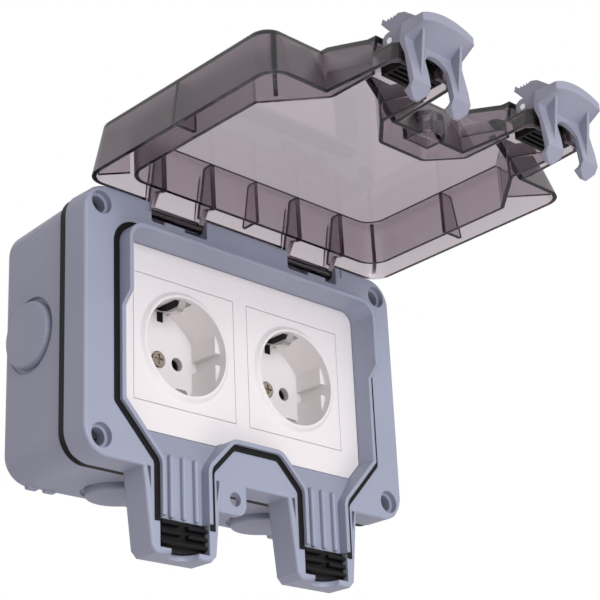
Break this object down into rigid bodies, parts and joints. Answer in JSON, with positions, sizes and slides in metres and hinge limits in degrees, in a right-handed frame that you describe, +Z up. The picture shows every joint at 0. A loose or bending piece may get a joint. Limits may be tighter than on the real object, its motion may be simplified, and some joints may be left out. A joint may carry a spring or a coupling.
{
  "type": "outdoor weatherproof socket",
  "caption": "Surface-mounted weatherproof socket with a deep wall box, gasketed cover with cable legs, side-earthed sockets and a hinged smoked lid held by pivoting latches.",
  "frame": {"origin": "centre of the back box's rear face, which lies on the wall", "axes": "+X to the right seen from the front, +Y into the wall, +Z up"},
  "size_m": [0.1634, 0.1958, 0.1621],
  "materials": {
    "grey_plastic": "fine moulded texture",
    "latch_plastic": "smooth satin",
    "smoked_plastic": "clear tinted, polished",
    "white_plastic": "smooth satin",
    "black_rubber": "matt",
    "steel": "plated",
    "brass": "plain"
  },
  "bodies": {
    "housing": {"back_box": "grey_plastic", "front_cover": "grey_plastic", "box_gasket": "black_rubber", "lid_seal": "black_rubber", "cable_seal_left": "black_rubber", "cable_seal_right": "black_rubber", "hinge_pin_left": "steel", "hinge_pin_right": "steel", "face_plate": "white_plastic", "socket_left": "white_plastic", "socket_right": "white_plastic", "earth_clips_left": "steel", "earth_clips_right": "steel", "live_contact_left": "brass", "live_contact_right": "brass", "neutral_contact_left": "brass", "neutral_contact_right": "brass", "centre_screw_left": "brass", "centre_screw_right": "brass", "cover_screws": "steel", "blanking_plug_left": "grey_plastic", "blanking_plug_right": "grey_plastic", "blanking_plug_base_left": "grey_plastic", "blanking_plug_base_right": "grey_plastic", "blanking_plug_top_left": "grey_plastic", "blanking_plug_top_right": "grey_plastic"},
    "lid": {"lid": "smoked_plastic", "lid_cable_seal_left": "black_rubber", "lid_cable_seal_right": "black_rubber", "latch_pin_left": "steel", "latch_pin_right": "steel"},
    "latch_left": {"latch_left": "latch_plastic"},
    "latch_right": {"latch_right": "latch_plastic"}
  },
  "joints": [
    {"name": "lid_hinge", "type": "hinge", "parent": "housing", "child": "lid", "pos_m": [0, -0.0512, 0.0505], "axis": [1, 0, 0], "range_deg": [-12, 91]},
    {"name": "latch_left_pivot", "type": "hinge", "parent": "lid", "child": "latch_left", "pos_m": [-0.036, -0.17871, 0.06813], "axis": [1, 0, 0], "range_deg": [-28, 4.5]},
    {"name": "latch_right_pivot", "type": "hinge", "parent": "lid", "child": "latch_right", "pos_m": [0.036, -0.17871, 0.06813], "axis": [1, 0, 0], "range_deg": [-28, 4.5]}
  ]
}
